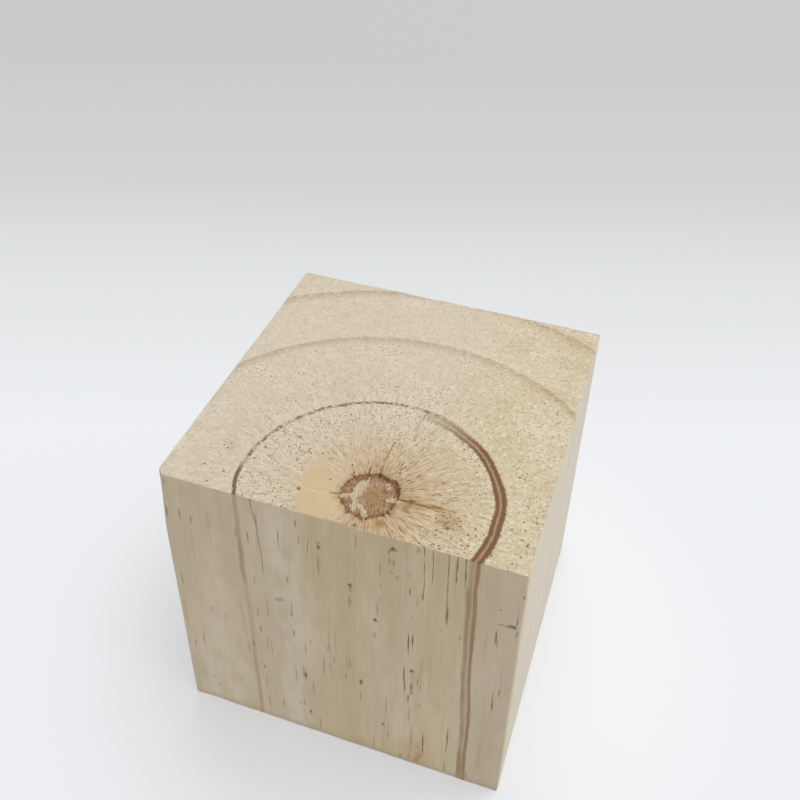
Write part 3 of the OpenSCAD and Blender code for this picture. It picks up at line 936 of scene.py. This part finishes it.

# floor: matt paper of a pale sweep, greyed by painted shade away from the camera; it keeps only
# part of its shadows for the camera
floorMesh = bpy.data.meshes.new("floor")
reach = studio["floorReach"]
floorMesh.from_pydata([(-reach, -reach, 0), (reach, -reach, 0), (reach, reach, 0),
                       (-reach, reach, 0)], [], [(0, 1, 2, 3)])
floor = addObject("floor", floorMesh)
paper = bpy.data.materials.new("mattPaper")
add = clearTree(paper)
facing = math.radians(view["azimuth"])
away = add("VectorMath.DOT_PRODUCT", add("TexCoord", out="Object"),
           (-math.sin(facing), math.cos(facing), 0), out=1)
toneReach = studio["toneReach"]
away = add("Math.MULTIPLY", away, 1 / (toneReach * mm))
tone = add("ValToRGB", away, stops=[
    (distance / toneReach, linear(colour)) for distance, colour in studio["floorShadedTones"]])
matt = add("BsdfDiffuse", ins={"Color": tone})
glow = add("Emission", ins={"Color": tone})
seen = add("LightPath", out="Is Camera Ray")
by, off = (limit * mm for limit in studio["floorClose"])
close = add("VectorMath.LENGTH", add("TexCoord", out="Object"), out=1)
close = add("MapRange.SMOOTHSTEP", close, off, by)
strong, faint = studio["floorShadow"]
glowing = add("MapRange", close, 0, 1, 1 - faint, 1 - strong)
thrown = add("Math.MULTIPLY", close, studio["floorBounce"])
seen = add("Mix", seen, ins={2: thrown, 3: glowing}, out=0)
sheet = add("MixShader", seen, matt, glow)
add("OutputMaterial", sheet, out=None)
floorMesh.materials.append(paper)

# world: even soft light, and a pale backdrop where the camera looks past the floor
world = bpy.data.worlds.new("studio")
bpy.context.scene.world = world
add = clearTree(world)
seen = add("LightPath", out="Is Camera Ray")
sky = add("Mix.RGBA", seen, ins={6: linear(studio["sky"]), 7: linear(studio["backdrop"])}, out=2)
sky = add("Background", sky)
add("OutputWorld", sky, out=None)

# key: one wide soft box above, to the right and a little behind
lamp = bpy.data.lights.new("key", "AREA")
lamp.energy = studio["keyPower"]
lamp.size = studio["keySize"]
key = addObject("key", lamp)
aim = np.array(studio["keyFrom"]) / np.linalg.norm(studio["keyFrom"])
key.location = aim * studio["keyAway"]
key.rotation_euler = (math.acos(aim[2]), 0, math.atan2(aim[1], aim[0]) + math.pi / 2)

lens = bpy.data.cameras.new("camera")
lens.lens = view["lens"]
lens.sensor_width = 36
lens.shift_y = view["shiftY"]
lens.clip_start = 0.01
camera = addObject("camera", lens)
camera.location = [share * edge * mm for share in view["place"]]
turned = Euler((math.radians(90 - view["elevation"]), 0, math.radians(view["azimuth"])), "XYZ")
rolled = Euler((0, 0, math.radians(view["roll"])), "XYZ")
camera.rotation_euler = (turned.to_matrix() @ rolled.to_matrix()).to_euler()
bpy.context.scene.camera = camera
bpy.context.scene.view_settings.view_transform = "Standard"
print("camera, floor and lamp are set")
